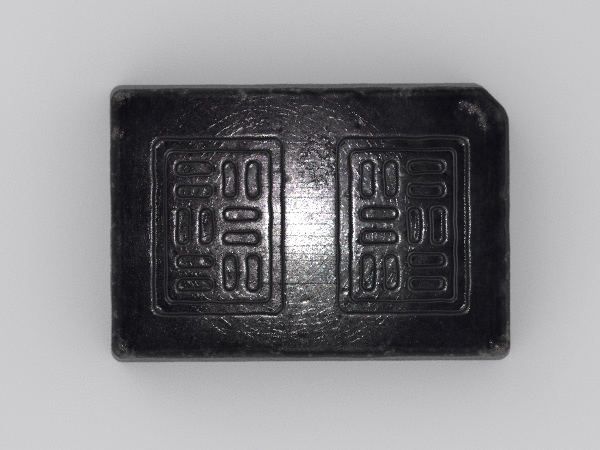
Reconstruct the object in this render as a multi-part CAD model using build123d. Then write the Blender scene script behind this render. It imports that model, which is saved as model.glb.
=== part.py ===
from build123d import *

import os
from math import radians, tan

# A small cast ingot of dark grey alloy, lying on its wide face.
#
# The block was poured in an open mould, so its four walls lean inwards from the wide foot to the
# narrow face that lay on the mould's floor. That face looks up. It carries two sunk patterns side
# by side: each is a rounded rectangular groove that frames short bars, laid in pairs that turn by a
# quarter from one pair to the next. One corner of the block is cut off, and beside that cut the
# face slopes down, where the metal froze before it filled the mould.
#
# Frame: millimetres, +Z up, +X along the length. The origin is under the middle of the block, on
# the plane that it rests on.

# The block, measured at its foot as if its edges were sharp
LENGTH = 150.0
WIDTH = 104.5
HEIGHT = 30.0
WALL_DRAFT = 10.0  # degrees that each wall leans inwards
CORNER_RADIUS = 4.5
FACE_EDGE_RADIUS = 2.0
FOOT_EDGE_RADIUS = 1.2

# The cut corner, at +X and +Y
CUT_ALONG_LENGTH = 11.7
CUT_ALONG_WIDTH = 11.7
CUT_SIDE_ROUNDING = 4.0  # where the cut meets the long side
CUT_END_ROUNDING = 8.0  # where the cut meets the end

# The slope beside the cut corner
SLOPE_REACH = 8.0  # how far it runs in from the cut, on the face
SLOPE_DROP = 1.4  # how far it has fallen where it meets the cut

# The sunk patterns
GROOVE_WIDTH = 4.8  # across its mouth
LAND = 3.4  # metal left between two grooves
GROOVE_DEPTH = 1.7
GROOVE_DRAFT = 24.0  # degrees that a groove's sides lean outwards
BAR_CORNER = 1.9  # in plan, at the mouth
FRAME_CORNER = 3.4  # in plan, at the outside of a frame's mouth
MOUTH_RADIUS = 0.9
FLOOR_RADIUS = 0.6
GAP_BETWEEN = 19.0  # from one frame to the other
END_MARGIN = 14.0  # least metal from a frame to the end of the face
SIDE_MARGIN = 15.5  # least metal from a frame to the long side of the face
PATTERN_SHIFT = -1.2  # the patterns lie this far from the middle, along Y

DRAFT_RUN = HEIGHT * tan(radians(WALL_DRAFT))
FACE_LENGTH = LENGTH - 2 * DRAFT_RUN
FACE_WIDTH = WIDTH - 2 * DRAFT_RUN

BAR_LENGTH = 2 * GROOVE_WIDTH + LAND  # so that a pair of bars fills a square
PAIR_PITCH = BAR_LENGTH + LAND
FRAME_EXTRA = 2 * GROOVE_WIDTH + LAND  # what a frame adds to its rows or columns of pairs


def pairs_that_fit(room):
    """How many pairs of bars lie side by side in a frame that has this much room."""
    return int((room - FRAME_EXTRA) // PAIR_PITCH)


COLUMNS = pairs_that_fit((FACE_LENGTH - GAP_BETWEEN) / 2 - END_MARGIN)
ROWS = pairs_that_fit(FACE_WIDTH - 2 * SIDE_MARGIN)
FRAME_LENGTH = COLUMNS * PAIR_PITCH + FRAME_EXTRA
FRAME_WIDTH = ROWS * PAIR_PITCH + FRAME_EXTRA


def foot_corners():
    """The corners of the foot, each with the radius of the edge that climbs from it."""
    x, y = LENGTH / 2, WIDTH / 2
    return [
        ((-x, -y), CORNER_RADIUS),
        ((x, -y), CORNER_RADIUS),
        ((x, y - CUT_ALONG_WIDTH), CUT_END_ROUNDING),
        ((x - CUT_ALONG_LENGTH, y), CUT_SIDE_ROUNDING),
        ((-x, y), CORNER_RADIUS),
    ]


def climbing_edge(block, corner):
    """The edge that climbs to the face from a corner of the foot."""
    climbing = block.edges().filter_by_position(Axis.Z, HEIGHT / 3, 2 * HEIGHT / 3)
    return climbing.sort_by_distance(Vector(*corner, HEIGHT / 2))[0]


def drafted_block():
    """The block with its leaning walls and its cut corner, and its climbing edges rounded."""
    foot = make_face(Polyline([corner for corner, _ in foot_corners()], close=True))
    block = extrude(foot, amount=HEIGHT, taper=WALL_DRAFT)
    for corner, radius in foot_corners():
        block = fillet(climbing_edge(block, corner), radius)
    return block


def slope_plane():
    """The plane of the slope: level with the face at its inner line, and lower at the cut."""
    outward = Vector(CUT_ALONG_WIDTH, CUT_ALONG_LENGTH).normalized()
    cut_on_face = outward.dot(Vector(LENGTH / 2, WIDTH / 2 - CUT_ALONG_WIDTH)) - DRAFT_RUN
    inner_line = outward * (cut_on_face - SLOPE_REACH) + Vector(0, 0, HEIGHT)
    upward = outward * SLOPE_DROP + Vector(0, 0, SLOPE_REACH)
    return Plane(origin=inner_line, z_dir=upward)


def round_outer_edges(block):
    """Rounds the rim of the face and slope, and the rim of the foot."""
    face, slope = block.faces().sort_by(Axis.Z)[-1], block.faces().sort_by(Axis.Z)[-2]
    rim = face.edges() + slope.edges()
    crease = [e for e in face.edges() if e in slope.edges()]
    block = fillet([e for e in rim if e not in crease], FACE_EDGE_RADIUS)
    return fillet(block.faces().sort_by(Axis.Z)[0].edges(), FOOT_EDGE_RADIUS)


def sunk(outline, draft):
    """The metal to take out under an outline on the face. A positive draft narrows it downwards."""
    return extrude(Pos(0, 0, HEIGHT) * outline, amount=GROOVE_DEPTH, dir=(0, 0, -1), taper=draft)


def round_floor(cutter):
    """Rounds the lowest edges of a cutter, so that the floor of its groove is filleted."""
    return fillet(cutter.faces().sort_by(Axis.Z)[0].edges(), FLOOR_RADIUS)


def frame_cutter():
    """A frame's groove, centred on the origin."""
    outside = sunk(RectangleRounded(FRAME_LENGTH, FRAME_WIDTH, FRAME_CORNER), GROOVE_DRAFT)
    inside = RectangleRounded(FRAME_LENGTH - 2 * GROOVE_WIDTH, FRAME_WIDTH - 2 * GROOVE_WIDTH, BAR_CORNER)
    return round_floor(outside - sunk(inside, -GROOVE_DRAFT))


def pair_cutter(turned):
    """Two bars side by side that fill a square centred on the origin. Turned, they lie along X."""
    bar = round_floor(sunk(RectangleRounded(GROOVE_WIDTH, BAR_LENGTH, BAR_CORNER), GROOVE_DRAFT))
    offset = (GROOVE_WIDTH + LAND) / 2
    return [Rot(0, 0, 90 if turned else 0) * Pos(side * offset, 0, 0) * bar for side in (-1, 1)]


def pattern_cutters(side):
    """Every groove of one pattern. side is -1 for the one at -X and 1 for the one at +X."""
    centre = Pos(side * (GAP_BETWEEN + FRAME_LENGTH) / 2, PATTERN_SHIFT, 0)
    cutters = [centre * frame_cutter()]
    for column in range(COLUMNS):
        for row in range(ROWS):
            x = (column - (COLUMNS - 1) / 2) * PAIR_PITCH * side
            y = (row - (ROWS - 1) / 2) * PAIR_PITCH
            cutters += [centre * Pos(x, y, 0) * bar for bar in pair_cutter((column + row) % 2)]
    return cutters


def round_mouths(block):
    """Rounds the edges where the grooves open on the face."""
    half_length = GAP_BETWEEN / 2 + FRAME_LENGTH + LAND / 2
    half_width = FRAME_WIDTH / 2 + LAND / 2
    at_face = block.edges().group_by(Axis.Z)[-1]
    mouths = at_face.filter_by(
        lambda e: abs(e.center().X) < half_length and abs(e.center().Y - PATTERN_SHIFT) < half_width
    )
    return fillet(mouths, MOUTH_RADIUS)


def ingot():
    """The whole casting as one solid."""
    block = split(drafted_block(), bisect_by=slope_plane(), keep=Keep.BOTTOM)
    block = round_outer_edges(block)
    block = block - (pattern_cutters(-1) + pattern_cutters(1))
    return round_mouths(block)


os.makedirs("parts", exist_ok=True)
export_step(ingot(), "parts/ingot.step")
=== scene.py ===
from math import cos, pi, radians, sin, tan

import bpy
import numpy as np
from mathutils import Matrix, Vector


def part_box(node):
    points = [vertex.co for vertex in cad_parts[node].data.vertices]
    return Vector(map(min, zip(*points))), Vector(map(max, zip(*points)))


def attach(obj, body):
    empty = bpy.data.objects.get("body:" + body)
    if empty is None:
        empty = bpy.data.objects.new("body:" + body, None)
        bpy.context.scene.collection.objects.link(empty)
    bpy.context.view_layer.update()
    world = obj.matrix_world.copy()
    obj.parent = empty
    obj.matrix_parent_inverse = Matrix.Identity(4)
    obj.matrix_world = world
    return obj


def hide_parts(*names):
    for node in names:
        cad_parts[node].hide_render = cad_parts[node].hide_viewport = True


# The look of a small cast ingot of dark grey alloy that lies on its wide foot.
#
# One closed mesh stands for the solid. Its upper face is a grid whose lines lie on the walls of the
# sunk patterns, and from that grid's edge rings run over the rim, down the walls, round the foot
# and under it to one pole. The relief of the casting is worked out for whole arrays of points.
#
# Everything is in metres, in the frame of the solid: +Z up, +X along the length.

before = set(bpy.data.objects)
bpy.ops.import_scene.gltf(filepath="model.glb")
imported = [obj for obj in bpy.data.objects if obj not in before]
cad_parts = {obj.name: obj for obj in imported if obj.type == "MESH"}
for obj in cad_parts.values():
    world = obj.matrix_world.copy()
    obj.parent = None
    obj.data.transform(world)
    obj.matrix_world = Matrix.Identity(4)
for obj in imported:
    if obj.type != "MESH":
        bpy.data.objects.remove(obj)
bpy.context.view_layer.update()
block_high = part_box("ingot")[1]

MM = 0.001
TINY = 1e-9  # stands in for a zero that would be divided by

# The block, as its solid has it
WALL_DRAFT = radians(10.0)
CORNER_ROUND = 4.5 * MM
CUT_SIDE_ROUND = 4.0 * MM
CUT_END_ROUND = 8.0 * MM
FACE_ROUND = 2.0 * MM
FOOT_ROUND = 1.2 * MM
CUT_ALONG_LENGTH = 11.7 * MM
CUT_ALONG_WIDTH = 11.7 * MM
SLOPE_REACH = 8.0 * MM
SLOPE_DROP = 1.4 * MM
SLOPE_SOFTNESS = 1.2 * MM

# The sunk patterns, as the solid has them, but with the edges of the grooves a little crisper and
# the face worn down a little towards them
GROOVE_WIDTH = 4.8 * MM
LAND = 3.4 * MM
GROOVE_DEPTH = 1.7 * MM
GROOVE_DRAFT = radians(24.0)
BAR_CORNER = 1.9 * MM
FRAME_CORNER = 3.4 * MM
MOUTH_ROUND = 0.55 * MM
FLOOR_ROUND = 0.4 * MM
LIP_RUN = 0.5 * MM
LIP_DROP = 0.05 * MM
GAP_BETWEEN = 19.0 * MM
PATTERN_SHIFT = -1.2 * MM
COLUMNS = 2
ROWS = 3

# What follows from them
HEIGHT = block_high.z
ROUND_LOSS = FOOT_ROUND * (tan(WALL_DRAFT) + 1 / cos(WALL_DRAFT) - 1)
HALF_LENGTH = block_high.x + ROUND_LOSS
HALF_WIDTH = block_high.y + ROUND_LOSS
RIM_TURN = pi / 2 - WALL_DRAFT
FOOT_TURN = pi / 2 + WALL_DRAFT
RIM_RUN = FACE_ROUND * tan(RIM_TURN / 2)
FOOT_RUN = FOOT_ROUND * tan(FOOT_TURN / 2)
FACE_INSET = HEIGHT * tan(WALL_DRAFT) + RIM_RUN
BAR_LENGTH = 2 * GROOVE_WIDTH + LAND
PAIR_PITCH = BAR_LENGTH + LAND
FRAME_LENGTH = COLUMNS * PAIR_PITCH + BAR_LENGTH
FRAME_WIDTH = ROWS * PAIR_PITCH + BAR_LENGTH
GROOVE_TURN = pi / 2 - GROOVE_DRAFT
MOUTH_RUN = MOUTH_ROUND * tan(GROOVE_TURN / 2)
FLOOR_RUN = FLOOR_ROUND * tan(GROOVE_TURN / 2)
WALL_RUN = GROOVE_DEPTH * tan(GROOVE_DRAFT)

# The photograph's place: its scale at the upper face, and the pixels of points on that face
PIXEL = 0.35 * MM
BLOCK_MIDDLE_PX = (310.5, 222.5)
LENS_AXIS_PX = (300.0, 225.0)
HOT_SPOT_PX = (300.0, 222.0)
IMAGE_WIDTH_PX = 600


def on_face(pixel):
    """The place on the upper face that a pixel of the photograph shows, as x and y."""
    along = (pixel[0] - BLOCK_MIDDLE_PX[0]) * PIXEL
    across = (BLOCK_MIDDLE_PX[1] - pixel[1]) * PIXEL
    return along, across


# The relief of the whole face
UNEVEN_HEIGHT = 0.018 * MM
UNEVEN_SIZE = 30.0 * MM
WOBBLE = 0.13 * MM  # sideways
WOBBLE_SIZE = 11.0 * MM
GROOVE_FLOOR_UNEVEN = 0.008  # of its depth
GROOVE_FLOOR_UNEVEN_SIZE = 9.0 * MM

# The ripples: rings that start at one radius, are full between two more and end at the last
RIPPLE_MIDDLE = np.array(on_face((291, 224)))
RIPPLE_PITCH = 3.2 * MM
RIPPLE_HEIGHT = 0.022 * MM
RIPPLE_WANDER = 0.9 * MM
RIPPLE_WANDER_SIZE = 24.0 * MM
RIPPLE_PATCH_SIZE = 17.0 * MM
RIPPLE_PATCH_EDGE = (-0.6, 1.0)
RIPPLE_FROM = 26.0 * MM
RIPPLE_FULL_FROM = 31.0 * MM
RIPPLE_FULL_TO = 38.0 * MM
RIPPLE_TO = 46.0 * MM

# Nodules and pits
NODULE_MIDDLE = np.array(on_face((318, 164)))
NODULE_REACH = np.array([5.5 * MM, 7.5 * MM])
NODULE_COUNT = 8
NODULE_SIZES = (0.9 * MM, 2.0 * MM)
NODULE_HEIGHT = 0.03 * MM
NODULE_RAGGEDNESS = 0.13
NODULE_RAGGED_SIZE = 2.4 * MM
NODULE_EDGE = (0.2, 0.7)
PIT_COUNT = 70
PIT_SIZES = (0.5 * MM, 1.1 * MM)
PIT_DEPTH = 0.09 * MM
PITTED_SHARE = 0.9  # of the length and width of the foot
DEEP_PIT_MIDDLE = np.array(on_face((304, 301)))
DEEP_PIT_SIZE = 1.0 * MM
DEEP_PIT_DEPTH = 0.08 * MM
DEEP_PIT_RAGGED_SIZE = 2.0 * MM

# The rough band beside the cut, with a fainter skirt inside it
BAND_MIDDLE = np.array(on_face((462, 129)))
BAND_RADIUS = 7.9 * MM
BAND_HALF_WIDTH = 1.2 * MM
BAND_WANDER = 0.6 * MM
BAND_WANDER_SIZE = 5.0 * MM
BAND_FACING = (0.45, 0.9)  # the cosines of angles from the cut's normal, at none and at full
SKIRT_OFFSET = 3.0 * MM
SKIRT_HALF_WIDTH = 2.6 * MM
SKIRT_STRENGTH = 0.3
SKIRT_PATCH_SIZE = 3.0 * MM
SKIRT_PATCH_EDGE = (-0.5, 0.6)

# Scuffed places: the pixel of each, how far it reaches and how rough it is
SCUFFS = [
    ((121, 96), 1.5 * MM, 1.0),
    ((129, 93), 1.1 * MM, 0.8),
    ((116, 132), 1.6 * MM, 0.8),
    ((407, 88), 2.4 * MM, 0.7),
    ((121, 345), 1.8 * MM, 0.7),
    ((128, 356), 2.0 * MM, 0.8),
    ((498, 352), 2.6 * MM, 1.0),
    ((506, 338), 1.6 * MM, 0.8),
    ((486, 357), 2.2 * MM, 0.7),
    ((244, 94), 1.4 * MM, 0.7),
    ((309, 218), 1.2 * MM, 0.15),
]
ROUGH_HEIGHT = 0.04 * MM
ROUGH_SIZE = 1.7 * MM
SCUFF_RAGGED_SIZE = 2.5 * MM
RAGGEDNESS = 0.35
LEAST_RAGGED = 0.6


def smooth(low, high, value):
    """0 below low and 1 above high, with a soft S between them. With low above high it falls."""
    share = np.clip((value - low) / (high - low), 0.0, 1.0)
    return share * share * (3.0 - 2.0 * share)


def waves(points, size, seed, count=14):
    """Gentle unevenness of about one unit: the sum of plane waves of random heading and phase,
    whose lengths are 0.7 to 1.5 times size."""
    draw = np.random.default_rng(seed)
    heading = draw.normal(size=(count, points.shape[-1]))
    heading /= np.linalg.norm(heading, axis=1, keepdims=True)
    length = size * draw.uniform(0.7, 1.5, count)
    phase = draw.uniform(0.0, 2 * pi, count)
    total = np.zeros(points.shape[:-1])
    for one_heading, one_length, one_phase in zip(heading, length, phase):
        total += np.sin(points @ one_heading * (2 * pi / one_length) + one_phase)
    return total / np.sqrt(count / 2)


# The outline of the block. Each side is its outward normal and its distance from the middle at the
# foot, in order round the block, and each corner lies between a side and the next one.
CUT_NORMAL = np.array([CUT_ALONG_WIDTH, CUT_ALONG_LENGTH])
CUT_NORMAL /= np.linalg.norm(CUT_NORMAL)
CUT_DISTANCE = CUT_NORMAL @ np.array([HALF_LENGTH, HALF_WIDTH - CUT_ALONG_WIDTH])
SIDES = [
    (np.array([1.0, 0.0]), HALF_LENGTH),
    (CUT_NORMAL, CUT_DISTANCE),
    (np.array([0.0, 1.0]), HALF_WIDTH),
    (np.array([-1.0, 0.0]), HALF_LENGTH),
    (np.array([0.0, -1.0]), HALF_WIDTH),
]
CORNER_ROUNDS = [CUT_END_ROUND, CUT_SIDE_ROUND, CORNER_ROUND, CORNER_ROUND, CORNER_ROUND]


def cross(a, b):
    """The z part of the cross product of flat vectors."""
    return a[..., 0] * b[..., 1] - a[..., 1] * b[..., 0]


def headings_of(points):
    """The unit vectors from the middle to each point."""
    return points / np.maximum(np.linalg.norm(points, axis=-1, keepdims=True), TINY)


def outline_reach(heading, inset, tighter=0.0):
    """How far the outline lies from the middle along each unit heading: the nearest of its sides,
    each moved inwards by inset, or the corner's arc where the ray leaves through a corner.
    tighter is taken off the radius of each corner."""
    reach = np.full(len(heading), np.inf)
    for normal, distance in SIDES:
        facing = np.maximum(heading @ normal, TINY)
        reach = np.minimum(reach, (distance - inset) / facing)
    for index, corner_round in enumerate(CORNER_ROUNDS):
        (normal, distance), (next_normal, next_distance) = SIDES[index], SIDES[(index + 1) % len(SIDES)]
        radius = corner_round - tighter
        inner = [np.broadcast_to(far - inset - radius, reach.shape) for far in (distance, next_distance)]
        middle = np.linalg.solve(np.stack([normal, next_normal]), np.stack(inner)).T
        along = np.sum(heading * middle, axis=1)
        inside_root = along**2 - np.sum(middle**2, axis=1) + radius**2
        hit = along + np.sqrt(np.maximum(inside_root, 0.0))
        spoke = heading * hit[:, None] - middle
        between_sides = (cross(normal, spoke) >= 0) & (cross(spoke, next_normal) >= 0)
        reach = np.where((inside_root > 0) & (hit > 0) & between_sides, hit, reach)
    return reach


def slope_height(points):
    """The height of the face without its patterns and relief: level, and falling at one rate past
    the line where the slope beside the cut corner starts, with a soft bend there."""
    inner_line = CUT_DISTANCE - HEIGHT * tan(WALL_DRAFT) - SLOPE_REACH
    past = points @ CUT_NORMAL - inner_line
    softened = (past + np.sqrt(past**2 + SLOPE_SOFTNESS**2)) / 2
    return HEIGHT - SLOPE_DROP / SLOPE_REACH * softened


def rim_inset(rim_height):
    """How far inside the foot's outline the flat face ends, where the rim stands at rim_height."""
    return rim_height * tan(WALL_DRAFT) + RIM_RUN


def rim_heights(heading):
    """The height of the face where each heading meets its rim. The rim lies further out where the
    face is lower, so the place and the height are worked out in turn, twice."""
    height = np.full(len(heading), HEIGHT)
    for _ in range(2):
        edge = heading * outline_reach(heading, rim_inset(height), RIM_RUN)[:, None]
        height = slope_height(edge)
    return height


def pattern_middles():
    """The middle of each sunk pattern, and -1 or 1 for its side of the block."""
    along = (GAP_BETWEEN + FRAME_LENGTH) / 2
    return [(np.array([side * along, PATTERN_SHIFT]), side) for side in (-1, 1)]


def rounded_box_distance(points, middle, size, corner):
    """Signed distance to a rectangle with round corners, below zero inside it."""
    beyond = np.abs(points - middle) - np.array(size) / 2 + corner
    outside = np.linalg.norm(np.maximum(beyond, 0.0), axis=-1)
    inside = np.minimum(np.max(beyond, axis=-1), 0.0)
    return outside + inside - corner


def bars(middle, side):
    """The middle and size of each bar of a pattern: pairs side by side that fill squares, turned by
    a quarter from each square to the next."""
    offset = (GROOVE_WIDTH + LAND) / 2
    for column in range(COLUMNS):
        for row in range(ROWS):
            across = (column - (COLUMNS - 1) / 2) * PAIR_PITCH * side
            along = (row - (ROWS - 1) / 2) * PAIR_PITCH
            square = middle + np.array([across, along])
            for step in (-offset, offset):
                if (column + row) % 2:
                    yield square + np.array([0.0, step]), (BAR_LENGTH, GROOVE_WIDTH)
                else:
                    yield square + np.array([step, 0.0]), (GROOVE_WIDTH, BAR_LENGTH)


def distance_into_grooves(points):
    """How far each point lies inside the mouth of a groove, below zero on the face between them."""
    into = np.full(points.shape[:-1], -np.inf)
    for middle, side in pattern_middles():
        outer = rounded_box_distance(points, middle, (FRAME_LENGTH, FRAME_WIDTH), FRAME_CORNER)
        island = (FRAME_LENGTH - 2 * GROOVE_WIDTH, FRAME_WIDTH - 2 * GROOVE_WIDTH)
        inner = rounded_box_distance(points, middle, island, BAR_CORNER)
        into = np.maximum(into, np.minimum(-outer, inner))
        for bar_middle, size in bars(middle, side):
            into = np.maximum(into, -rounded_box_distance(points, bar_middle, size, BAR_CORNER))
    return into


def groove_profile(into):
    """How deep a groove is at a distance into its mouth: an arc over the edge of the mouth, a wall
    with draft, an arc into the floor, and the level floor. Added to that, the face is worn down a
    little towards the mouth."""
    mouth_arc = MOUTH_ROUND - np.sqrt(np.maximum(MOUTH_ROUND**2 - (into + MOUTH_RUN) ** 2, 0.0))
    wall = into / tan(GROOVE_DRAFT)
    floor_start = WALL_RUN + FLOOR_RUN
    floor_root = np.sqrt(np.maximum(FLOOR_ROUND**2 - (floor_start - into) ** 2, 0.0))
    floor_arc = GROOVE_DEPTH - FLOOR_ROUND + floor_root
    stretches = [
        into < -MOUTH_RUN,
        into < MOUTH_RUN * cos(GROOVE_TURN),
        into < WALL_RUN - FLOOR_RUN * cos(GROOVE_TURN),
        into < floor_start,
    ]
    worn_lip = LIP_DROP * smooth(-MOUTH_RUN - LIP_RUN, 0.0, into)
    return worn_lip + np.select(stretches, [0.0 * into, mouth_arc, wall, floor_arc], GROOVE_DEPTH)


STEP = 0.05 * MM


def groove_steepness(into):
    """How steeply a groove falls at a distance into its mouth, measured over a short step."""
    return (groove_profile(into + STEP) - groove_profile(into - STEP)) / (2 * STEP)


def ripples(points):
    """Low rings round the middle of the ripples, higher further out. Their radius wanders, and they
    come and go."""
    wander = RIPPLE_WANDER * waves(points, RIPPLE_WANDER_SIZE, seed=3)
    radius = np.linalg.norm(points - RIPPLE_MIDDLE, axis=-1) + wander
    crest = (0.5 + 0.5 * np.cos(2 * pi * radius / RIPPLE_PITCH)) ** 3 * radius / RIPPLE_TO
    where = smooth(RIPPLE_FROM, RIPPLE_FULL_FROM, radius) * smooth(RIPPLE_TO, RIPPLE_FULL_TO, radius)
    patchy = smooth(*RIPPLE_PATCH_EDGE, waves(points, RIPPLE_PATCH_SIZE, seed=4))
    return RIPPLE_HEIGHT * crest * where * patchy


def round_spots(points, seed, count, low, high, sizes, weakest):
    """A field from 0 to 1 of soft round spots at random places between two corners of the face.
    The top of each spot is between weakest and 1."""
    draw = np.random.default_rng(seed)
    places = draw.uniform(low, high, (count, 2))
    radii = draw.uniform(*sizes, count)
    strengths = draw.uniform(weakest, 1.0, count)
    field = np.zeros(points.shape[:-1])
    for place, radius, strength in zip(places, radii, strengths):
        squared = np.sum((points - place) ** 2, axis=-1) / radius**2
        field = np.maximum(field, strength * np.exp(-(squared**1.5)))
    return field


def ragged_scale(points, size, seed):
    """A factor round 1 that makes the outline of a spot ragged. It stays above LEAST_RAGGED, so that
    no spot spreads over the face."""
    return np.maximum(1 + RAGGEDNESS * waves(points, size, seed), LEAST_RAGGED)


def ragged_spot(points, middle, reach, ragged):
    """From 0 to 1, a soft spot that fades out over reach times its ragged scale."""
    squared = np.sum((points - middle) ** 2, axis=-1) / reach**2
    return np.exp(-squared * ragged**2)


def nodules(points):
    """Small flat-topped lumps in the gap between the patterns, in a loose cluster."""
    low, high = NODULE_MIDDLE - NODULE_REACH, NODULE_MIDDLE + NODULE_REACH
    lumps = round_spots(points, 21, NODULE_COUNT, low, high, NODULE_SIZES, weakest=0.85)
    ragged = lumps + NODULE_RAGGEDNESS * waves(points, NODULE_RAGGED_SIZE, seed=22)
    return NODULE_HEIGHT * smooth(*NODULE_EDGE, ragged)


def pits(points):
    """Small hollows scattered over the face, and one deeper one below the middle."""
    edge = np.array([HALF_LENGTH, HALF_WIDTH]) * PITTED_SHARE
    scattered = round_spots(points, 31, PIT_COUNT, -edge, edge, PIT_SIZES, weakest=0.4)
    ragged = ragged_scale(points, DEEP_PIT_RAGGED_SIZE, seed=32)
    deep = ragged_spot(points, DEEP_PIT_MIDDLE, DEEP_PIT_SIZE, ragged)
    return PIT_DEPTH * scattered + DEEP_PIT_DEPTH * deep


def cut_band(points):
    """From 0 to 1, how near a point lies to the rough band where the slope beside the cut starts:
    an arc round BAND_MIDDLE with ragged sides, and a fainter patchy skirt inside it. Both are the
    strongest towards the cut."""
    spoke = points - BAND_MIDDLE
    radius = np.linalg.norm(spoke, axis=-1)
    across = radius - BAND_RADIUS + BAND_WANDER * waves(points, BAND_WANDER_SIZE, seed=41)
    towards_cut = spoke @ CUT_NORMAL / np.maximum(radius, TINY)
    crest = np.exp(-((across / BAND_HALF_WIDTH) ** 2))
    skirt = SKIRT_STRENGTH * np.exp(-(((across + SKIRT_OFFSET) / SKIRT_HALF_WIDTH) ** 2))
    patchy = smooth(*SKIRT_PATCH_EDGE, waves(points, SKIRT_PATCH_SIZE, seed=44))
    return np.maximum(crest, skirt * patchy) * smooth(*BAND_FACING, towards_cut)


def scuffed(points):
    """From 0 to 1, how rough the face is: over the band beside the cut and at the scuffs, each of
    them with a ragged outline."""
    ragged = ragged_scale(points, SCUFF_RAGGED_SIZE, seed=43)
    rough = cut_band(points)
    for pixel, reach, strength in SCUFFS:
        spot = ragged_spot(points, np.array(on_face(pixel)), reach, ragged)
        rough = np.maximum(rough, strength * spot)
    return rough


def face_relief(points):
    """Everything that a casting's face has beside its drawn shape, as a change of height."""
    rough = ROUGH_HEIGHT * scuffed(points) * waves(points, ROUGH_SIZE, seed=42)
    uneven = UNEVEN_HEIGHT * waves(points, UNEVEN_SIZE, seed=1)
    return uneven + ripples(points) + nodules(points) - pits(points) + rough


# The grid on the face. It has a line at every bend of a groove's wall, and each bend is given by its
# distance into the mouth.
GRID_SPACING = 0.8 * MM
PROFILE_BENDS = (
    -MOUTH_RUN - LIP_RUN,
    -MOUTH_RUN - 0.3 * LIP_RUN,
    -0.75 * MOUTH_RUN,
    -0.2 * MOUTH_RUN,
    MOUTH_RUN * cos(GROOVE_TURN),
    WALL_RUN - FLOOR_RUN * cos(GROOVE_TURN),
    WALL_RUN + FLOOR_RUN,
    WALL_RUN + FLOOR_RUN + 0.14 * MM,
)
DRAWN_IN_FROM = 0.8  # of the way from the middle to the grid's edge
WOBBLE_ENDS = (1.0, 0.85)  # none at the first share of that way, and full below the second


def walls_along(axis, copies, frame_size):
    """The groove walls that cross one axis: the place of each mouth's edge, and 1 or -1 for the way
    into the groove."""
    walls = []
    for middle, _ in pattern_middles():
        for sign in (-1, 1):
            walls.append((middle[axis] + sign * frame_size / 2, -sign))
            walls.append((middle[axis] + sign * (frame_size / 2 - GROOVE_WIDTH), sign))
            for copy in range(copies):
                square = middle[axis] + (copy - (copies - 1) / 2) * PAIR_PITCH
                walls.append((square + sign * BAR_LENGTH / 2, -sign))
                walls.append((square + sign * LAND / 2, sign))
    return walls


def grid_lines(walls, reach):
    """The places of the grid's lines from -reach to reach: one at every bend of every groove wall,
    to the micrometre, and the stretches between them divided evenly. The number of divisions is
    rounded up from 0.2."""
    bends = {round(place + way * bend, 6) for place, way in walls for bend in PROFILE_BENDS}
    stops = sorted(bends | {-reach, reach})
    lines = [stops[0]]
    for start, end in zip(stops, stops[1:]):
        parts = max(1, round((end - start) / GRID_SPACING + 0.3))
        lines.extend(np.linspace(start, end, parts + 1)[1:])
    return np.array(lines)


def drawn_into_outline(points, half_size):
    """Moves a rectangular grid's points along rays, so that its edge lies on the face's outline.
    The inner part stays, and the outer part follows with a soft start."""
    heading = headings_of(points)
    box_reach = np.min(half_size / np.maximum(np.abs(heading), TINY), axis=1)
    target = outline_reach(heading, rim_inset(rim_heights(heading)), RIM_RUN)
    share = smooth(DRAWN_IN_FROM, 1.0, np.max(np.abs(points) / half_size, axis=1))
    return points * (1 + share * (target / box_reach - 1))[:, None]


def face_points(grid, flat, depth, half_size):
    """The points of the face: each grid point at its place in the outline, moved sideways by the
    wobble, which fades towards the rim, and at its height less the depth of the groove."""
    inner = smooth(*WOBBLE_ENDS, np.max(np.abs(grid) / half_size, axis=1))[:, None]
    wobble = np.column_stack([waves(flat, WOBBLE_SIZE, seed=11), waves(flat, WOBBLE_SIZE, seed=12)])
    moved = flat + WOBBLE * wobble * inner
    uneven_floor = 1 + GROOVE_FLOOR_UNEVEN * waves(flat, GROOVE_FLOOR_UNEVEN_SIZE, seed=13)
    height = slope_height(flat) - depth * uneven_floor + face_relief(moved)
    return np.column_stack([moved, height])


def face_quads(columns, rows):
    """The corners of each square of a grid, anticlockwise from above."""
    index = np.arange(columns * rows).reshape(rows, columns)
    corners = [index[:-1, :-1], index[:-1, 1:], index[1:, 1:], index[1:, :-1]]
    return np.stack(corners, axis=-1).reshape(-1, 4)


def edge_walk(columns, rows):
    """The indices of a grid's edge points, once round, anticlockwise from above."""
    grid = np.arange(columns * rows).reshape(rows, columns)
    return np.concatenate([grid[0, :-1], grid[:-1, -1], grid[-1, :0:-1], grid[:0:-1, 0]])


# The rings from the face's rim to the pole under the foot
RIM_STEPS = 6
WALL_STEPS = 21
FOOT_STEPS = 4
UNDER_SHARES = (0.97, 0.85, 0.6, 0.35, 0.12)
UNDER_HOLLOW = 0.25 * MM
UNDER_HOLLOW_SIZE = 30.0 * MM
UNDER_HOLLOW_SHARES = (1.0, 0.8)  # of the way out: level at the first, hollow inside the second
UNDER_UNEVEN = 0.4

# The relief of the walls. It fades out over the last stretch above the foot and below the face.
BOW_HEIGHT = 0.13 * MM
BOW_SIZE = 21.0 * MM
LAP_PITCH = 4.2 * MM
LAP_DEPTH = 0.07 * MM
LAP_WANDER = 0.35  # of a pitch
LAP_WANDER_SIZE = 45.0 * MM
LAP_PATCH_SIZE = 26.0 * MM
LAP_PATCH_EDGE = (-0.5, 1.1)
LUMP_HEIGHT = 0.035 * MM
LUMP_SIZE = 3.4 * MM
CLEAR_OF_FOOT = 3.0 * MM
CLEAR_OF_FACE = 4.0 * MM

# The knocks on the rim. The depth of each is a share of its size.
KNOCK_COUNT = 46
KNOCK_SIZES = (0.8 * MM, 2.6 * MM)
KNOCK_DEPTHS = (0.08, 0.22)
KNOCK_LOWEST = 1.5 * MM
KNOCK_OUT = 0.8 * RIM_RUN
KNOCK_DOWN = 0.8  # of what it is pushed inwards

HIGHEST = HEIGHT + 0.5 * MM  # no point of the casting stands above this

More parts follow.
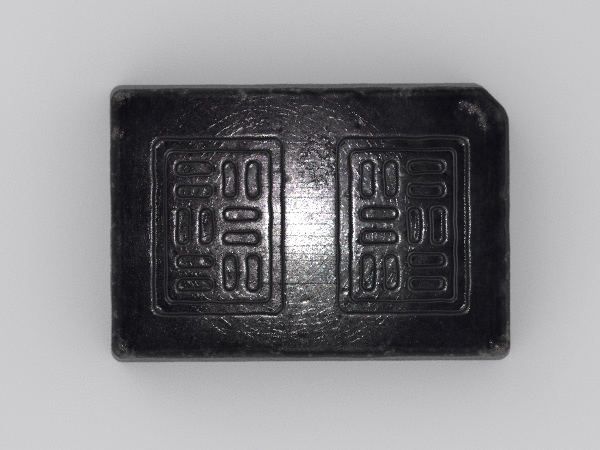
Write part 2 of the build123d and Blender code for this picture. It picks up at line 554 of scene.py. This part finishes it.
# Where the rim is worn and its colour painted darker as shade: from a distance inside it to full just
# past it, and down the wall
RIM_WEAR_AND_SHADE_ACROSS = (2.2 * MM, -0.6 * MM)
RIM_WEAR_AND_SHADE_HEIGHTS = (HEIGHT - 6.0 * MM, HEIGHT - 2.5 * MM)
# Knocks get both the wear and the painted rim shade
WEAR_AND_SHADE_BY_KNOCK = 3.0 / MM  # so a knock a third of a millimetre deep is fully worn

# Between which heights the scuffs fade, and between which slopes a groove's side begins
ROUGH_HEIGHTS = (HEIGHT - 5.0 * MM, HEIGHT - 3.0 * MM)
STEEP_RATES = (0.1, 0.6)


def ring_profile(rim_height):
    """The rings down the side as inset, height and the share of the face's relief that each keeps:
    an arc over the rim, the leaning wall, and an arc round the foot."""
    rings = []
    for turn in np.linspace(0, RIM_TURN, RIM_STEPS + 1)[1:]:
        inset = rim_inset(rim_height) - FACE_ROUND * sin(turn)
        rings.append((inset, rim_height - FACE_ROUND * (1 - cos(turn)), 1 - turn / RIM_TURN))
    top = rim_height - FACE_ROUND * (1 - cos(RIM_TURN))
    bottom = FOOT_RUN * cos(WALL_DRAFT)
    for share in np.linspace(0, 1, WALL_STEPS + 1)[1:]:
        height = top + (bottom - top) * share
        rings.append((height * tan(WALL_DRAFT), height, 0.0))
    for turn in np.linspace(0, FOOT_TURN, FOOT_STEPS + 1)[1:]:
        height = FOOT_ROUND * (1 - cos(FOOT_TURN - turn))
        inset = FOOT_RUN - FOOT_ROUND * sin(FOOT_TURN - turn) + 0 * rim_height
        rings.append((inset, height + 0 * rim_height, 0.0))
    return rings


def wall_relief(points):
    """How far a wall stands out where it isn't plain: it bows gently, it has the laps that the
    rising metal left, which come and go along the wall, and it is lumpy between them."""
    bow = BOW_HEIGHT * waves(points, BOW_SIZE, seed=51)
    rise = points[:, 2] / LAP_PITCH + LAP_WANDER * waves(points[:, :2], LAP_WANDER_SIZE, seed=53)
    patchy = smooth(*LAP_PATCH_EDGE, waves(points, LAP_PATCH_SIZE, seed=54))
    laps = LAP_DEPTH * (0.5 + 0.5 * np.cos(2 * pi * rise)) ** 4 * patchy
    lumps = LUMP_HEIGHT * waves(points, LUMP_SIZE, seed=55, count=24)
    return bow - laps + lumps


def side_points(edge, rim_height):
    """The points of every ring below the face's edge: where each heading meets the ring, moved along
    the heading by the relief of the wall. Inside the foot's edge the underside is a little hollow."""
    heading = headings_of(edge[:, :2])
    relief = edge[:, 2] - rim_height
    rings = []
    for inset, height, kept in ring_profile(rim_height):
        tighter = np.mean(inset - height * tan(WALL_DRAFT))
        flat = heading * outline_reach(heading, inset, tighter)[:, None]
        ring = np.column_stack([flat, height + kept * relief])
        clear = smooth(0, CLEAR_OF_FOOT, height) * smooth(HEIGHT, HEIGHT - CLEAR_OF_FACE, height)
        ring[:, :2] += heading * (wall_relief(ring) * clear)[:, None]
        rings.append(ring)
    foot = rings[-1]
    for share in UNDER_SHARES:
        ring = foot * np.array([share, share, 1.0])
        uneven = 1 - UNDER_UNEVEN + UNDER_UNEVEN * waves(ring[:, :2], UNDER_HOLLOW_SIZE, seed=52)
        ring[:, 2] = np.maximum(UNDER_HOLLOW * uneven * smooth(*UNDER_HOLLOW_SHARES, share), 0.0)
        rings.append(ring)
    return np.concatenate(rings), len(rings)


def ring_faces(edge, ring_count, first):
    """Quads between each ring and the next, the face's edge being the first ring, and triangles
    from the last ring to the pole."""
    count = len(edge)
    around = np.arange(count)
    rings = np.vstack([edge, first + np.arange(ring_count * count).reshape(ring_count, count)])
    upper, lower = rings[:-1], rings[1:]
    following = np.roll(around, -1)
    quads = np.stack([upper, lower, lower[:, following], upper[:, following]], axis=-1).reshape(-1, 4)
    pole = np.full(count, first + ring_count * count)
    caps = np.stack([rings[-1], pole, rings[-1][following]], axis=-1)
    return quads, caps


def rim_knocks(points):
    """Knocks on the rim and the upper walls: at random places round the rim the metal is pushed
    inwards and down, the most at the middle of each knock."""
    draw = np.random.default_rng(61)
    angles = draw.uniform(0, 2 * pi, KNOCK_COUNT)
    heading = np.column_stack([np.cos(angles), np.sin(angles)])
    heights = rim_heights(heading)
    rim = heading * outline_reach(heading, rim_inset(heights) - KNOCK_OUT, RIM_RUN)[:, None]
    sizes = draw.uniform(*KNOCK_SIZES, KNOCK_COUNT)
    depths = draw.uniform(*KNOCK_DEPTHS, KNOCK_COUNT) * sizes
    lowered = heights - draw.uniform(0.0, KNOCK_LOWEST, KNOCK_COUNT)
    push = np.zeros_like(points)
    for way, place, height, size, depth in zip(heading, rim, lowered, sizes, depths):
        centre = np.array([*place, height])
        fall = np.exp(-np.sum((points - centre) ** 2, axis=1) / size**2)
        push -= (depth * fall)[:, None] * np.array([*way, KNOCK_DOWN])
    return push


def finish_values(points, into, knocks):
    """What the finish reads on each point, from 0 to 1: how far it lies down a groove, how steep the
    groove is there, how worn the rim is and how far it is painted darker there as shade, and how
    rough. The face's points come first, and into is theirs."""
    below, steep = np.zeros(len(points)), np.zeros(len(points))
    below[: len(into)] = smooth(0.0, GROOVE_DEPTH, groove_profile(into))
    steep[: len(into)] = smooth(*STEEP_RATES, groove_steepness(into))
    flat, height = points[:, :2], points[:, 2]
    to_rim = outline_reach(headings_of(flat), FACE_INSET, RIM_RUN) - np.linalg.norm(flat, axis=1)
    rim_wear_and_shade = smooth(*RIM_WEAR_AND_SHADE_ACROSS, to_rim) * smooth(*RIM_WEAR_AND_SHADE_HEIGHTS, height)
    rim_wear_and_shade = np.clip(rim_wear_and_shade + WEAR_AND_SHADE_BY_KNOCK * np.linalg.norm(knocks, axis=1), 0, 1)
    rough = scuffed(flat) * smooth(*ROUGH_HEIGHTS, height)
    return {"below": below, "steep": steep, "rim_wear_and_shade": rim_wear_and_shade, "rough": rough}


def ingot_mesh():
    """The whole ingot as one closed surface, with the values that its finish reads."""
    half_size = np.array([HALF_LENGTH, HALF_WIDTH]) - FACE_INSET
    along = grid_lines(walls_along(0, COLUMNS, FRAME_LENGTH), half_size[0])
    across = grid_lines(walls_along(1, ROWS, FRAME_WIDTH), half_size[1])
    grid = np.stack(np.meshgrid(along, across), axis=-1).reshape(-1, 2)

    into = distance_into_grooves(grid)
    flat = drawn_into_outline(grid, half_size)
    face = face_points(grid, flat, groove_profile(into), half_size)
    edge = edge_walk(len(along), len(across))
    sides, ring_count = side_points(face[edge], rim_heights(headings_of(flat[edge])))
    pole = np.array([[0.0, 0.0, np.mean(sides[-len(edge):, 2])]])
    points = np.concatenate([face, sides, pole])
    knocks = rim_knocks(points)
    points += knocks
    points[:, 2] = np.clip(points[:, 2], 0.0, HIGHEST)

    side_quads, caps = ring_faces(edge, ring_count, len(grid))
    quads = face_quads(len(along), len(across))
    mesh = bpy.data.meshes.new("ingot_casting")
    mesh.from_pydata(points.tolist(), [], [*quads.tolist(), *side_quads.tolist(), *caps.tolist()])
    mesh.polygons.foreach_set("use_smooth", np.ones(len(mesh.polygons), bool))
    for name, values in finish_values(points, into, knocks).items():
        attribute = mesh.attributes.new(name, "FLOAT", "POINT")
        attribute.data.foreach_set("value", values.astype(np.float32))
    mesh.update()
    return mesh


class Signal:
    """A value that runs through a material: an output socket on which sums add Math nodes."""

    def __init__(self, finish, socket):
        self.finish = finish
        self.socket = socket

    def __add__(self, other):
        return self.finish.maths("ADD", self, other)

    def __sub__(self, other):
        return self.finish.maths("SUBTRACT", self, other)

    def __rsub__(self, other):
        return self.finish.maths("SUBTRACT", other, self)

    def __mul__(self, other):
        return self.finish.maths("MULTIPLY", self, other)

    def __truediv__(self, other):
        return self.finish.maths("DIVIDE", self, other)

    def __pow__(self, other):
        return self.finish.maths("POWER", self, other)

    __radd__ = __add__
    __rmul__ = __mul__

    def size(self):
        """Its value without its sign."""
        return self.finish.maths("ABSOLUTE", self)

    def between(self, low, high, to_low=0.0, to_high=1.0):
        """Carries low to to_low and high to to_high, with a soft S between them."""
        ends = {"From Min": low, "From Max": high, "To Min": to_low, "To Max": to_high}
        settings = {"interpolation_type": "SMOOTHSTEP"}
        return self.finish.node("ShaderNodeMapRange", settings, {"Value": self, **ends})


class Finish:
    """A material or a world in the making."""

    def __init__(self, owner):
        self.owner = owner
        owner.use_nodes = True
        self.tree = owner.node_tree
        self.tree.nodes.clear()

    def node(self, kind, settings=None, inputs=None, output=0):
        """Adds a node: its settings first, then the value or the link of each socket named or
        numbered in inputs. The output asked for comes back as a signal."""
        made = self.tree.nodes.new(kind)
        for name, value in (settings or {}).items():
            setattr(made, name, value)
        for name, value in (inputs or {}).items():
            if isinstance(value, Signal):
                self.tree.links.new(value.socket, made.inputs[name])
            else:
                made.inputs[name].default_value = value
        return Signal(self, made.outputs[output]) if made.outputs else None

    def maths(self, operation, *values):
        """A sum on numbers or signals."""
        return self.node("ShaderNodeMath", {"operation": operation}, dict(enumerate(values)))

    def vector(self, operation, *values):
        """A sum on vectors or colours."""
        return self.node("ShaderNodeVectorMath", {"operation": operation}, dict(enumerate(values)))

    def scaled(self, vector, factor):
        """A vector or colour times a number or a signal."""
        return self.node("ShaderNodeVectorMath", {"operation": "SCALE"}, {0: vector, "Scale": factor})

    def mix(self, share, first, second):
        """The first colour where share is 0, and the second where it is 1."""
        return self.node("ShaderNodeMix", {"data_type": "RGBA"}, {0: share, 6: first, 7: second}, 2)

    def place(self):
        """The place on the object."""
        return self.node("ShaderNodeTexCoord", output="Object")

    def parts(self, vector):
        """The three parts of a vector."""
        return [self.node("ShaderNodeSeparateXYZ", inputs={0: vector}, output=part) for part in range(3)]

    def joined(self, x, y, z):
        """A vector from its three parts."""
        return self.node("ShaderNodeCombineXYZ", inputs={0: x, 1: y, 2: z})

    def attribute(self, name):
        """A value kept on the mesh's points."""
        return self.node("ShaderNodeAttribute", {"attribute_name": name}, output="Fac")

    def stretched(self, place, scale, turn=0.0):
        """The place turned about Z and then scaled along each axis."""
        turned = self.node("ShaderNodeMapping", inputs={"Vector": place, "Rotation": (0.0, 0.0, turn)})
        return self.node("ShaderNodeMapping", inputs={"Vector": turned, "Scale": scale})

    def noise(self, place, scale=1.0, detail=2.0, roughness=0.5, distortion=0.0):
        """Smooth random values from 0 to 1, scale of them to the unit of place."""
        sockets = {"Vector": place, "Scale": scale, "Detail": detail, "Roughness": roughness}
        return self.node("ShaderNodeTexNoise", inputs={**sockets, "Distortion": distortion})

    def lines(self, place, half_width, scale=1.0, detail=0.0, distortion=0.0, full=0.0):
        """Thin lines, from 0 to 1: where smooth noise passes its middle value. They are full within
        one distance of that value and gone at half_width."""
        from_middle = (self.noise(place, scale, detail, distortion=distortion) - 0.5).size()
        return from_middle.between(half_width, full)

    def cells(self, place, scale):
        """A random colour for each cell, scale of them to the metre."""
        sockets = {"Vector": place, "Scale": scale}
        return self.node("ShaderNodeTexVoronoi", inputs=sockets, output="Color")

    def end(self, **sockets):
        """Closes the material with a Principled surface."""
        inputs = {name.replace("_", " "): value for name, value in sockets.items()}
        surface = self.node("ShaderNodeBsdfPrincipled", inputs=inputs)
        self.node("ShaderNodeOutputMaterial", inputs={"Surface": surface})
        return self.owner


# The colours of the metal, among them painted shade for the groove floors, the groove sides, the rim and
# the block's sides
DARK_METAL = (0.20, 0.194, 0.205, 1.0)
PALE_METAL = (0.30, 0.288, 0.297, 1.0)
# Painted shade: the groove floors are darkened towards this colour with their depth
GROOVE_FLOOR_SHADE = (0.15, 0.145, 0.155, 1.0)
# Painted shade: the sides of the grooves are painted nearly black
GROOVE_SIDE_SHADE = (0.009, 0.009, 0.011, 1.0)
PLANED_LINE = (0.04, 0.04, 0.045, 1.0)
# Painted shade: the rim's colour is darkened towards this
RIM_SHADE = (0.048, 0.048, 0.053, 1.0)
BARE_RIM = (0.34, 0.33, 0.32, 1.0)
SCUFFED_METAL = (0.48, 0.455, 0.41, 1.0)
# Painted shade: the block's sides are painted much darker than its face, mottled between these two
DARK_SIDE_SHADE = (0.045, 0.045, 0.05, 1.0)
PALE_SIDE_SHADE = (0.10, 0.10, 0.105, 1.0)
TINT_LEAST = 0.75  # of the colour, on the darkest crystal
TINT_RANGE = 0.5  # from that crystal to the palest

# How rough the metal is: from its clean patches to its dull ones, and what each mark adds
PATCH_ROUGHNESS = (0.142, 0.162)
MOTTLE_ROUGHNESS = 0.02
CRYSTAL_ROUGHNESS = 0.05
MARK_ROUGHNESS = {"streaks": 0.03, "steep": 0.2, "rim_wear_and_shade": 0.2, "rough": 0.14, "wall": 0.14}

# How high each mark stands on the metal, in millimetres
MARK_HEIGHTS = {
    "lines": -0.006,
    "arcs": 0.011,
    "streaks": 0.0015,
    "islands": 0.085,
    "creases": -0.008,
    "scratches": 0.0008,
}

# The thin film of oxide on it, as a clear coat
FILM = 0.7
FILM_LOOK = {"Coat_Roughness": 0.25, "Coat_IOR": 1.6, "Specular_Tint": (0.35, 0.35, 0.36, 1.0)}

# The crystals, as how many there are to the metre, and the noises that vary the metal all over
CRYSTALS = 4200
LARGE_CRYSTALS = 1500
PATCHES = {"scale": 60, "detail": 4, "roughness": 0.6}
MOTTLE = {"scale": 420, "detail": 3, "roughness": 0.6}
SAND = {"scale": 1500, "detail": 2, "roughness": 0.6}
GRAIN = {"scale": 3600, "detail": 1}

# Each stretched noise, as how many swings it has to the metre along X, Y and Z
FAINT_LINE_STRETCH = (25, 1300, 25)
DARK_LINE_STRETCH = (5, 210, 5)
STREAK_STRETCH = (900, 60, 60)
SCRATCH_STRETCH = (45, 2200, 45)

# The noises of the arcs, as how many swings they have to the metre outwards and to the radian round
ARC_LINES = (330, 1.6)
ARC_DASHES = (90, 17)

# Where the marks lie. A pair of distances is where a mark is gone and where it is full.
WALL_HEIGHTS = (27.8 * MM, 26.3 * MM)
PLANED_MIDDLE = (-3.7 * MM, 2.0 * MM)
PLANED_X = (19.0 * MM, 11.0 * MM)
PLANED_Y = (36.0 * MM, 24.0 * MM)
FAINT_LINES = 0.3  # of a dark line
STREAKED_X = (54.0 * MM, 60.0 * MM)
CRINKLED_REACH = (6.5 * MM, 8.5 * MM)
ISLANDS_FADE = (1.5, 0.4)
CREASES_FADE = (3.0, 0.6)
ARC_MIDDLES = [on_face((291, 224)), on_face((262, 205))]
ARCS_INNER = (22.0 * MM, 28.0 * MM)
ARCS_OUTER = (54.0 * MM, 44.0 * MM)
SCRATCH_WAYS = 5


def leaning(finish, random, tilt, glitter, rarity):
    """The leaning of crystal grains from the random colour of each: it leans its own way by up to
    tilt, and a few grains by up to glitter more. The higher rarity is, the fewer those are."""
    lean = finish.vector("SUBTRACT", random, (0.5, 0.5, 0.5))
    chance = finish.parts(random)[2]
    return finish.scaled(lean, chance**rarity * (2 * glitter) + 2 * tilt)


def planing_lines(finish, place, x, y):
    """Lines along X that planing left in the mould, between the patterns: faint ones from stretched
    noise, and a few dark ones where smoother noise passes its middle value."""
    near_x = (x - PLANED_MIDDLE[0]).size().between(*PLANED_X)
    near_y = (y - PLANED_MIDDLE[1]).size().between(*PLANED_Y)
    noise = finish.noise(finish.stretched(place, FAINT_LINE_STRETCH), detail=3, roughness=0.65)
    faint = noise.between(0.56, 0.66) * FAINT_LINES
    dark = finish.lines(finish.stretched(place, DARK_LINE_STRETCH), half_width=0.018, full=0.004)
    return finish.maths("MAXIMUM", faint, dark) * (near_x * near_y)


def streaks_at_ends(finish, place, x):
    """Fine streaks across both ends of the face, from noise stretched along Y."""
    noise = finish.noise(finish.stretched(place, STREAK_STRETCH), detail=2, roughness=0.6)
    return noise.between(0.45, 0.7) * x.size().between(*STREAKED_X)


def thin_arcs(finish, x, y, middle, seed):
    """Thin broken ridges that run round a middle. They lie where smooth noise over the radius and
    the angle passes its middle value, and other noise breaks them into dashes."""
    out_x, out_y = x - middle[0], y - middle[1]
    radius = (out_x * out_x + out_y * out_y) ** 0.5
    angle = finish.maths("ARCTAN2", out_y, out_x)
    along_lines = finish.joined(radius * ARC_LINES[0], angle * ARC_LINES[1], seed)
    along_dashes = finish.joined(radius * ARC_DASHES[0], angle * ARC_DASHES[1], seed)
    line = finish.lines(along_lines, half_width=0.036)
    dashes = finish.noise(along_dashes).between(0.42, 0.54)
    return line * dashes * radius.between(*ARCS_INNER) * radius.between(*ARCS_OUTER)


def crinkles(finish, place, x, y):
    """The crinkled metal round the nodules: ragged islands with flat tops, and creases. Both fade
    with the square of the distance from the nodules' middle, measured in an ellipse."""
    from_x = (x - NODULE_MIDDLE[0]) / CRINKLED_REACH[0]
    from_y = (y - NODULE_MIDDLE[1]) / CRINKLED_REACH[1]
    squared = from_x**2 + from_y**2
    islands = finish.noise(place, 360, detail=1, distortion=0.6).between(0.46, 0.6)
    creases = finish.lines(place, half_width=0.05, scale=520, detail=1, distortion=0.8)
    return islands * squared.between(*ISLANDS_FADE), creases * squared.between(*CREASES_FADE)


def scratches(finish, place):
    """Fine scratches in several directions: the high parts of noise stretched along each."""
    turns = [0.5 + index * pi / SCRATCH_WAYS for index in range(SCRATCH_WAYS)]
    places = [finish.stretched(place, SCRATCH_STRETCH, turn) for turn in turns]
    return sum(finish.noise(turned, detail=1).between(0.62, 0.75) for turned in places)


def marks_on_metal(finish, place):
    """Everything that the colour, the roughness and the bumps of the metal share: each mark and
    each kind of unevenness from 0 to 1, and the random colour of each crystal."""
    x, y, z = finish.parts(place)
    islands, creases = crinkles(finish, place, x, y)
    arcs = [thin_arcs(finish, x, y, middle, 3.1 * index) for index, middle in enumerate(ARC_MIDDLES)]
    return {
        "below": finish.attribute("below"),
        "steep": finish.attribute("steep"),
        "rim_wear_and_shade": finish.attribute("rim_wear_and_shade"),
        "rough": finish.attribute("rough"),
        "wall": z.between(*WALL_HEIGHTS),
        "patches": finish.noise(place, **PATCHES),
        "mottle": finish.noise(place, **MOTTLE),
        "sand": finish.noise(place, **SAND),
        "grain": finish.noise(place, **GRAIN),
        "crystals": finish.cells(place, CRYSTALS),
        "lines": planing_lines(finish, place, x, y),
        "streaks": streaks_at_ends(finish, place, x),
        "arcs": sum(arcs),
        "islands": islands,
        "creases": creases,
        "scratches": scratches(finish, place),
    }


def metal_colour(finish, marks):
    """Darker and paler patches of metal, over them in turn what each mark and each kind of place
    makes of them, with painted shade on the groove floors, the groove sides, the rim and the block's
    sides, and last the tint of each crystal."""
    colour = finish.mix(marks["patches"].between(0.35, 0.65), DARK_METAL, PALE_METAL)
    side_shade = finish.mix(marks["mottle"].between(0.4, 0.65), DARK_SIDE_SHADE, PALE_SIDE_SHADE)
    covers = [
        # painted shade on the groove floors
        (marks["below"] * 0.35, GROOVE_FLOOR_SHADE),
        # painted shade on the sides of the grooves
        (marks["steep"] * 0.95, GROOVE_SIDE_SHADE),
        (marks["lines"] * 0.75, PLANED_LINE),
        # painted shade on the rim
        (marks["rim_wear_and_shade"] * 0.85, RIM_SHADE),
        (marks["rim_wear_and_shade"] * marks["mottle"].between(0.56, 0.66) * 0.5, BARE_RIM),
        (marks["rough"] * marks["grain"].between(0.4, 0.55), SCUFFED_METAL),
        # painted shade on the block's sides
        (marks["wall"] * 0.8, side_shade),
    ]
    for share, cover in covers:
        colour = finish.mix(share, colour, cover)
    tint = finish.vector("ADD", finish.scaled(marks["crystals"], TINT_RANGE), (TINT_LEAST,) * 3)
    return finish.vector("MULTIPLY", colour, tint)


def metal_roughness(finish, marks):
    """The roughness of the patches, more of it on some crystals and in the mottle, and what each
    mark adds."""
    dull_crystals = finish.parts(marks["crystals"])[0] * CRYSTAL_ROUGHNESS
    patches = marks["patches"].between(0.3, 0.7, *PATCH_ROUGHNESS)
    mottle = marks["mottle"].between(0.45, 0.7, 0.0, MOTTLE_ROUGHNESS)
    added = sum(marks[name] * amount for name, amount in MARK_ROUGHNESS.items())
    return dull_crystals + patches + mottle + added


def metal_normal(finish, place, marks):
    """The marks, the grain, the mottle and the sand as bumps, and the leaning of small and large
    crystals added to them. Scuffs make all of it coarser, and the walls are mottled and sandy."""
    rim_wear_and_shade, rough, wall = marks["rim_wear_and_shade"], marks["rough"], marks["wall"]
    height = sum(marks[name] * high for name, high in MARK_HEIGHTS.items())
    height = height + marks["grain"] * (0.0007 + rough * 0.03)
    height = height + marks["mottle"] * (0.0025 + rough * 0.05 + wall * 0.06)
    height = height + marks["sand"] * (rim_wear_and_shade * 0.02 + wall * 0.05)
    bumped = finish.node("ShaderNodeBump", inputs={"Strength": 1.0, "Distance": MM, "Height": height})
    small = leaning(finish, marks["crystals"], tilt=0.010 + rough * 0.2, glitter=0.07, rarity=12)
    cells = finish.cells(place, LARGE_CRYSTALS)
    large = leaning(finish, cells, tilt=0.007 + rough * 0.12, glitter=0.03, rarity=12)
    leaned = finish.vector("ADD", bumped, finish.vector("ADD", small, large))
    return finish.vector("NORMALIZE", leaned)


def cast_metal():
    """Dark grey cast metal under a thin film that varies from crystal to crystal. The sides of the
    grooves are painted nearly black as shade and are not metallic, and the film is thin there and on
    the worn rim, whose colour is darkened as painted shade."""
    finish = Finish(bpy.data.materials.new("cast_metal"))
    place = finish.place()
    marks = marks_on_metal(finish, place)
    steep, rim_wear_and_shade = marks["steep"], marks["rim_wear_and_shade"]
    film = finish.parts(marks["crystals"])[1] * FILM * (1 - steep * 0.7) * (1 - rim_wear_and_shade * 0.8)
    return finish.end(
        Base_Color=metal_colour(finish, marks),
        Metallic=1 - steep * 0.85,
        Roughness=metal_roughness(finish, marks),
        Coat_Weight=film,
        Normal=metal_normal(finish, place, marks),
        **FILM_LOOK,
    )


# The studio's floor, just below the foot
STUDIO_FLOOR_REACH = 6.0
STUDIO_FLOOR_GAP = 0.02 * MM
STUDIO_FLOOR_ROUGHNESS = 0.7
STUDIO_FLOOR_COLOURS = ((0.74, 0.74, 0.75, 1.0), (0.78, 0.78, 0.785, 1.0))

# The camera looks straight down, as in the photograph
CAMERA_ABOVE_FACE = 0.400
CAMERA_ROLL = radians(0.35)
SENSOR_WIDTH = 36.0  # in millimetres, as Blender's lenses are
NEAREST_SEEN = 0.01

# The lights
FLASH_POWER = 0.060
FLASH_SIZE = (16 * MM, 22 * MM)
SOFT_DISTANCE = 1.3
SOFT_SIZE = 1.0
SOFT_RISE = radians(38)
SOFT_LIGHTS = [(135, 2.2), (10, 1.2), (225, 1.6), (315, 1.2)]  # compass angle in degrees, power

# The room, which is pale below the first height of ROOM_HEIGHTS and dark above the second, the
# heights being sines of the angle above the horizon
ROOM_HEIGHTS = (0.2, 0.8)
ROOM_LOW = (0.26, 0.26, 0.27, 1.0)
ROOM_HIGH = (0.007, 0.008, 0.016, 1.0)
ROOM_FOR_FLOOR = (0.60, 0.60, 0.61, 1.0)
ROOM_FOR_CAMERA = (0.50, 0.50, 0.51, 1.0)


def add_object(name, data):
    """Puts data into the scene as an object at the origin."""
    made = bpy.data.objects.new(name, data)
    bpy.context.scene.collection.objects.link(made)
    return made


def add_ingot():
    """The ingot, which stands for its solid."""
    piece = add_object("ingot_casting", ingot_mesh())
    piece.data.materials.append(cast_metal())
    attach(piece, "root")
    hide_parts("ingot")


def pale_floor():
    """A plain pale floor with the faintest cloudiness."""
    finish = Finish(bpy.data.materials.new("pale_floor"))
    clouds = finish.noise(finish.place(), 3, detail=3)
    colour = finish.mix(clouds.between(0.3, 0.7), *STUDIO_FLOOR_COLOURS)
    return finish.end(Base_Color=colour, Roughness=STUDIO_FLOOR_ROUGHNESS)


def add_floor():
    """The floor, as one large square."""
    mesh = bpy.data.meshes.new("floor")
    corners = np.array([(-1, -1), (1, -1), (1, 1), (-1, 1)]) * STUDIO_FLOOR_REACH
    mesh.from_pydata([(x, y, -STUDIO_FLOOR_GAP) for x, y in corners.tolist()], [], [(0, 1, 2, 3)])
    floor = add_object("floor", mesh)
    floor.data.materials.append(pale_floor())


def add_camera():
    """The camera, whose lens makes a pixel of the picture PIXEL wide on the upper face."""
    x, y = on_face(LENS_AXIS_PX)
    lens = bpy.data.cameras.new("camera")
    lens.sensor_width = SENSOR_WIDTH
    lens.lens = SENSOR_WIDTH * CAMERA_ABOVE_FACE / (IMAGE_WIDTH_PX * PIXEL)
    lens.clip_start = NEAREST_SEEN
    camera = add_object("camera", lens)
    camera.location = (x, y, HEIGHT + CAMERA_ABOVE_FACE)
    camera.rotation_euler = (0.0, 0.0, -CAMERA_ROLL)
    bpy.context.scene.camera = camera


def add_area_light(name, place, target, size, power):
    """A soft elliptical light at place that faces target."""
    light = bpy.data.lights.new(name, "AREA")
    light.shape = "ELLIPSE"
    light.size, light.size_y = size
    light.energy = power
    made = add_object(name, light)
    place = Vector(place)
    turn = (Vector(target) - place).to_track_quat("-Z", "Y")
    made.matrix_world = Matrix.Translation(place) @ turn.to_matrix().to_4x4()
    made.visible_camera = False


def add_lights():
    """A small soft light beside the lens, whose reflection is the bright spot in the middle of the
    face, and large ones low on four sides, which the face doesn't mirror to the camera."""
    lens_x, lens_y = on_face(LENS_AXIS_PX)
    spot_x, spot_y = on_face(HOT_SPOT_PX)
    above = HEIGHT + CAMERA_ABOVE_FACE
    flash_place = (2 * spot_x - lens_x, 2 * spot_y - lens_y, above)
    add_area_light("flash", flash_place, (spot_x, spot_y, HEIGHT), FLASH_SIZE, FLASH_POWER)
    for angle, power in SOFT_LIGHTS:
        turn = radians(angle)
        way = Vector((cos(turn) * cos(SOFT_RISE), sin(turn) * cos(SOFT_RISE), sin(SOFT_RISE)))
        add_area_light(f"soft_{angle}", way * SOFT_DISTANCE, (0, 0, 0), (SOFT_SIZE, SOFT_SIZE), power)


def add_world():
    """What surrounds the object. The floor gets an even pale light from it, the metal mirrors it as
    a room that is pale low down and dark overhead, and the camera sees it pale past the floor."""
    world = bpy.data.worlds.new("studio")
    world.cycles.sampling_method = "NONE"
    bpy.context.scene.world = world
    finish = Finish(world)
    rise = finish.parts(finish.node("ShaderNodeTexCoord", output="Generated"))[2]
    room = finish.mix(rise.between(*ROOM_HEIGHTS), ROOM_LOW, ROOM_HIGH)
    for_floor = finish.node("ShaderNodeLightPath", output="Is Diffuse Ray")
    for_camera = finish.node("ShaderNodeLightPath", output="Is Camera Ray")
    seen = finish.mix(for_camera, finish.mix(for_floor, room, ROOM_FOR_FLOOR), ROOM_FOR_CAMERA)
    background = finish.node("ShaderNodeBackground", inputs={"Color": seen})
    finish.node("ShaderNodeOutputWorld", inputs={"Surface": background})


bpy.context.scene.view_settings.view_transform = "Standard"
bpy.context.scene.cycles.use_denoising = False  # it would smear the glitter of the grains
add_ingot()
add_floor()
add_camera()
add_lights()
add_world()
